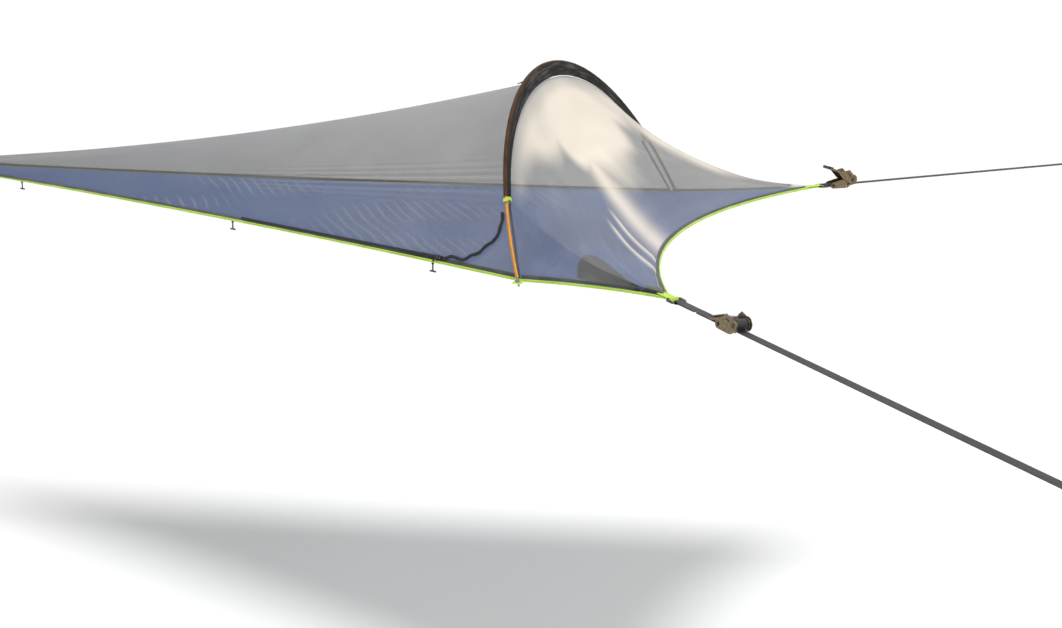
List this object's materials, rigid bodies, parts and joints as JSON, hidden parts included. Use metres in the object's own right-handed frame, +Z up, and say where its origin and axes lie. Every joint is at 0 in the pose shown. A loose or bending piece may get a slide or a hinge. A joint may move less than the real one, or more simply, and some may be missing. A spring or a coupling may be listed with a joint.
{
  "type": "tree tent",
  "caption": "Taut triangular floor hung by its corners, with a mesh canopy over an arched pole and a ratchet strap at each head corner.",
  "frame": {"origin": "tip of the floor's foot corner, in the middle of the edge webbing's thickness", "axes": "+X from the foot corner to the head edge, +Y to the far side, +Z up"},
  "size_m": [4.2838, 3.5838, 0.5175],
  "materials": {
    "floor_cloth": "woven polyester",
    "canopy_mesh": "fine see-through mesh",
    "lime_webbing": "woven webbing",
    "black_mesh": "fine mesh",
    "dark_webbing": "woven webbing",
    "black_plastic": "moulded",
    "orange_pole": "orange anodised",
    "elastic": "braided cover",
    "aluminium": "plain",
    "dark_steel": "dark plated",
    "zinc_plate": "yellow zinc plated"
  },
  "bodies": {
    "tent": {"door_zip": "black_plastic", "far_corner_loop": "lime_webbing", "far_corner_ring": "dark_steel", "far_edge_webbing": "lime_webbing", "far_foot_canopy": "canopy_mesh", "far_head_canopy": "canopy_mesh", "far_pole_eyelet": "aluminium", "far_pole_tip": "aluminium", "far_ratchet_bolt": "dark_steel", "far_ratchet_frame": "zinc_plate", "far_short_strap": "dark_webbing", "far_tree_strap": "dark_webbing", "floor_panel": "floor_cloth", "foot_corner_loop": "lime_webbing", "foot_corner_ring": "dark_steel", "head_edge_webbing": "lime_webbing", "head_wall_canopy": "canopy_mesh", "inner_pocket": "black_mesh", "near_corner_loop": "lime_webbing", "near_corner_ring": "dark_steel", "near_edge_webbing": "lime_webbing", "near_foot_canopy": "canopy_mesh", "near_head_canopy": "canopy_mesh", "near_pole_eyelet": "aluminium", "near_pole_tip": "aluminium", "near_ratchet_bolt": "dark_steel", "near_ratchet_frame": "zinc_plate", "near_short_strap": "dark_webbing", "near_tree_strap": "dark_webbing", "pole_section_1": "orange_pole", "pole_section_2": "orange_pole", "pole_section_3": "orange_pole", "pole_section_4": "orange_pole", "pole_shock_cord": "elastic", "pole_sleeve": "black_mesh", "ridge_tab": "black_plastic"},
    "near_handle_body": {"near_handle": "zinc_plate", "near_handle_grip": "black_plastic"},
    "near_handle_pawl_body": {"near_handle_pawl": "dark_steel"},
    "near_spool_body": {"near_spool": "dark_steel", "near_gear_wheel_1": "zinc_plate", "near_gear_wheel_2": "zinc_plate", "near_strap_roll": "dark_webbing"},
    "near_frame_pawl_body": {"near_frame_pawl": "dark_steel"},
    "far_handle_body": {"far_handle": "zinc_plate", "far_handle_grip": "black_plastic"},
    "far_handle_pawl_body": {"far_handle_pawl": "dark_steel"},
    "far_spool_body": {"far_spool": "dark_steel", "far_gear_wheel_1": "zinc_plate", "far_gear_wheel_2": "zinc_plate", "far_strap_roll": "dark_webbing"},
    "far_frame_pawl_body": {"far_frame_pawl": "dark_steel"},
    "near_hook_1_body": {"near_hook_1": "black_plastic"},
    "near_hook_2_body": {"near_hook_2": "black_plastic"},
    "near_hook_3_body": {"near_hook_3": "black_plastic"},
    "far_hook_1_body": {"far_hook_1": "black_plastic"},
    "far_hook_2_body": {"far_hook_2": "black_plastic"},
    "far_hook_3_body": {"far_hook_3": "black_plastic"},
    "zip_slider_body": {"zip_slider": "aluminium", "zip_pull": "black_plastic"}
  },
  "joints": [
    {"name": "near_handle_turn", "type": "hinge", "parent": "tent", "child": "near_handle_body", "pos_m": [3.33167, -1.00835, 0.0155], "axis": [0.6884, 0.7254, 0], "range_deg": [0, 150]},
    {"name": "near_spool_turn", "type": "hinge", "parent": "tent", "child": "near_spool_body", "pos_m": [3.33167, -1.00835, 0.0155], "axis": [0.6884, 0.7254, 0], "continuous": true},
    {"name": "near_frame_pawl_slide", "type": "slide", "parent": "tent", "child": "near_frame_pawl_body", "axis": [-0.5397, 0.5121, -0.6682], "range_m": [0, 0.0035], "stiffness_N_per_m": 150, "springref_m": -0.003},
    {"name": "near_handle_pawl_slide", "type": "slide", "parent": "near_handle_body", "child": "near_handle_pawl_body", "axis": [-0.6896, 0.6544, 0.3102], "range_m": [-0.0035, 0.001]},
    {"name": "far_handle_turn", "type": "hinge", "parent": "tent", "child": "far_handle_body", "pos_m": [3.18824, 0.88312, 0.0155], "axis": [-0.7314, 0.682, 0], "range_deg": [-30, 120]},
    {"name": "far_spool_turn", "type": "hinge", "parent": "tent", "child": "far_spool_body", "pos_m": [3.18824, 0.88312, 0.0155], "axis": [-0.7314, 0.682, 0], "continuous": true},
    {"name": "far_frame_pawl_slide", "type": "slide", "parent": "tent", "child": "far_frame_pawl_body", "axis": [-0.5074, -0.5441, -0.6682], "range_m": [0, 0.0035], "stiffness_N_per_m": 150, "springref_m": -0.003},
    {"name": "far_handle_pawl_slide", "type": "slide", "parent": "far_handle_body", "child": "far_handle_pawl_body", "axis": [-0.4557, -0.4887, 0.744], "range_m": [-0.0035, 0.001]},
    {"name": "near_hook_1_swing", "type": "hinge", "parent": "tent", "child": "near_hook_1_body", "pos_m": [0.61119, -0.11217, -0.01594], "axis": [0.2054, 0.9787, 0], "range_deg": [-70, 70]},
    {"name": "near_hook_2_swing", "type": "hinge", "parent": "tent", "child": "near_hook_2_body", "pos_m": [1.57946, -0.3404, -0.02616], "axis": [0.2531, 0.9674, 0], "range_deg": [-70, 70]},
    {"name": "near_hook_3_swing", "type": "hinge", "parent": "tent", "child": "near_hook_3_body", "pos_m": [2.35141, -0.55826, -0.03431], "axis": [0.2898, 0.9571, 0], "range_deg": [-70, 70]},
    {"name": "far_hook_1_swing", "type": "hinge", "parent": "tent", "child": "far_hook_1_body", "pos_m": [0.61119, 0.11217, -0.01594], "axis": [-0.2054, 0.9787, 0], "range_deg": [-70, 70]},
    {"name": "far_hook_2_swing", "type": "hinge", "parent": "tent", "child": "far_hook_2_body", "pos_m": [1.57946, 0.3404, -0.02616], "axis": [-0.2531, 0.9674, 0], "range_deg": [-70, 70]},
    {"name": "far_hook_3_swing", "type": "hinge", "parent": "tent", "child": "far_hook_3_body", "pos_m": [2.35141, 0.55826, -0.03431], "axis": [-0.2898, 0.9571, 0], "range_deg": [-70, 70]},
    {"name": "door_zip_slide", "type": "slide", "parent": "tent", "child": "zip_slider_body", "axis": [-0.9631, 0.2692, 0.0064], "range_m": [0, 0.769]}
  ]
}
